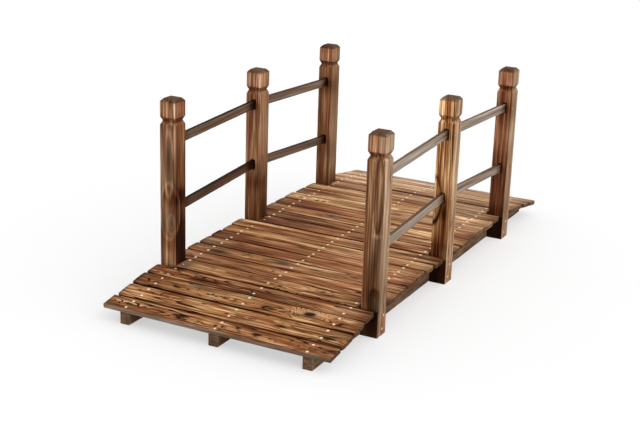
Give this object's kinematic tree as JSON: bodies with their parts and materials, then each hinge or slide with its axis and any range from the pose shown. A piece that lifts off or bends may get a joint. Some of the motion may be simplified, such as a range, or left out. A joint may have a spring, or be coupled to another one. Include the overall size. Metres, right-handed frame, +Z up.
{
  "type": "low wooden garden footbridge with post and rail sides",
  "caption": "Low garden footbridge of scorched softwood: nailed cross boards on ground stringers, ramped ends, square posts with bevelled heads and thin rails in mortises.",
  "frame": {"origin": "on the ground, in the middle of the bridge", "axes": "+X along the bridge, the way one walks over it; +Y to the left; +Z up"},
  "size_m": [1.5028, 0.673, 0.545],
  "materials": {
    "deck_wood": "scorched, brushed and oiled softwood",
    "post_wood": "scorched, brushed and oiled softwood",
    "rail_wood": "greyer scorched softwood",
    "stringer_wood": "rough sawn scorched softwood"
  },
  "bodies": {
    "root": {"deck_board_01": "deck_wood", "deck_board_02": "deck_wood", "deck_board_03": "deck_wood", "deck_board_04": "deck_wood", "deck_board_05": "deck_wood", "deck_board_06": "deck_wood", "deck_board_07": "deck_wood", "deck_board_08": "deck_wood", "deck_board_09": "deck_wood", "deck_board_10": "deck_wood", "deck_board_11": "deck_wood", "deck_board_12": "deck_wood", "deck_board_13": "deck_wood", "deck_board_14": "deck_wood", "deck_board_15": "deck_wood", "deck_board_16": "deck_wood", "deck_board_17": "deck_wood", "deck_board_18": "deck_wood", "deck_board_19": "deck_wood", "deck_board_20": "deck_wood", "deck_board_21": "deck_wood", "deck_board_22": "deck_wood", "deck_board_23": "deck_wood", "left_near_post": "post_wood", "right_near_post": "post_wood", "left_middle_post": "post_wood", "right_middle_post": "post_wood", "left_far_post": "post_wood", "right_far_post": "post_wood", "left_near_upper_rail": "rail_wood", "right_near_upper_rail": "rail_wood", "left_far_upper_rail": "rail_wood", "right_far_upper_rail": "rail_wood", "left_near_lower_rail": "rail_wood", "right_near_lower_rail": "rail_wood", "left_far_lower_rail": "rail_wood", "right_far_lower_rail": "rail_wood", "left_stringer": "stringer_wood", "centre_stringer": "stringer_wood", "right_stringer": "stringer_wood"}
  },
  "joints": []
}
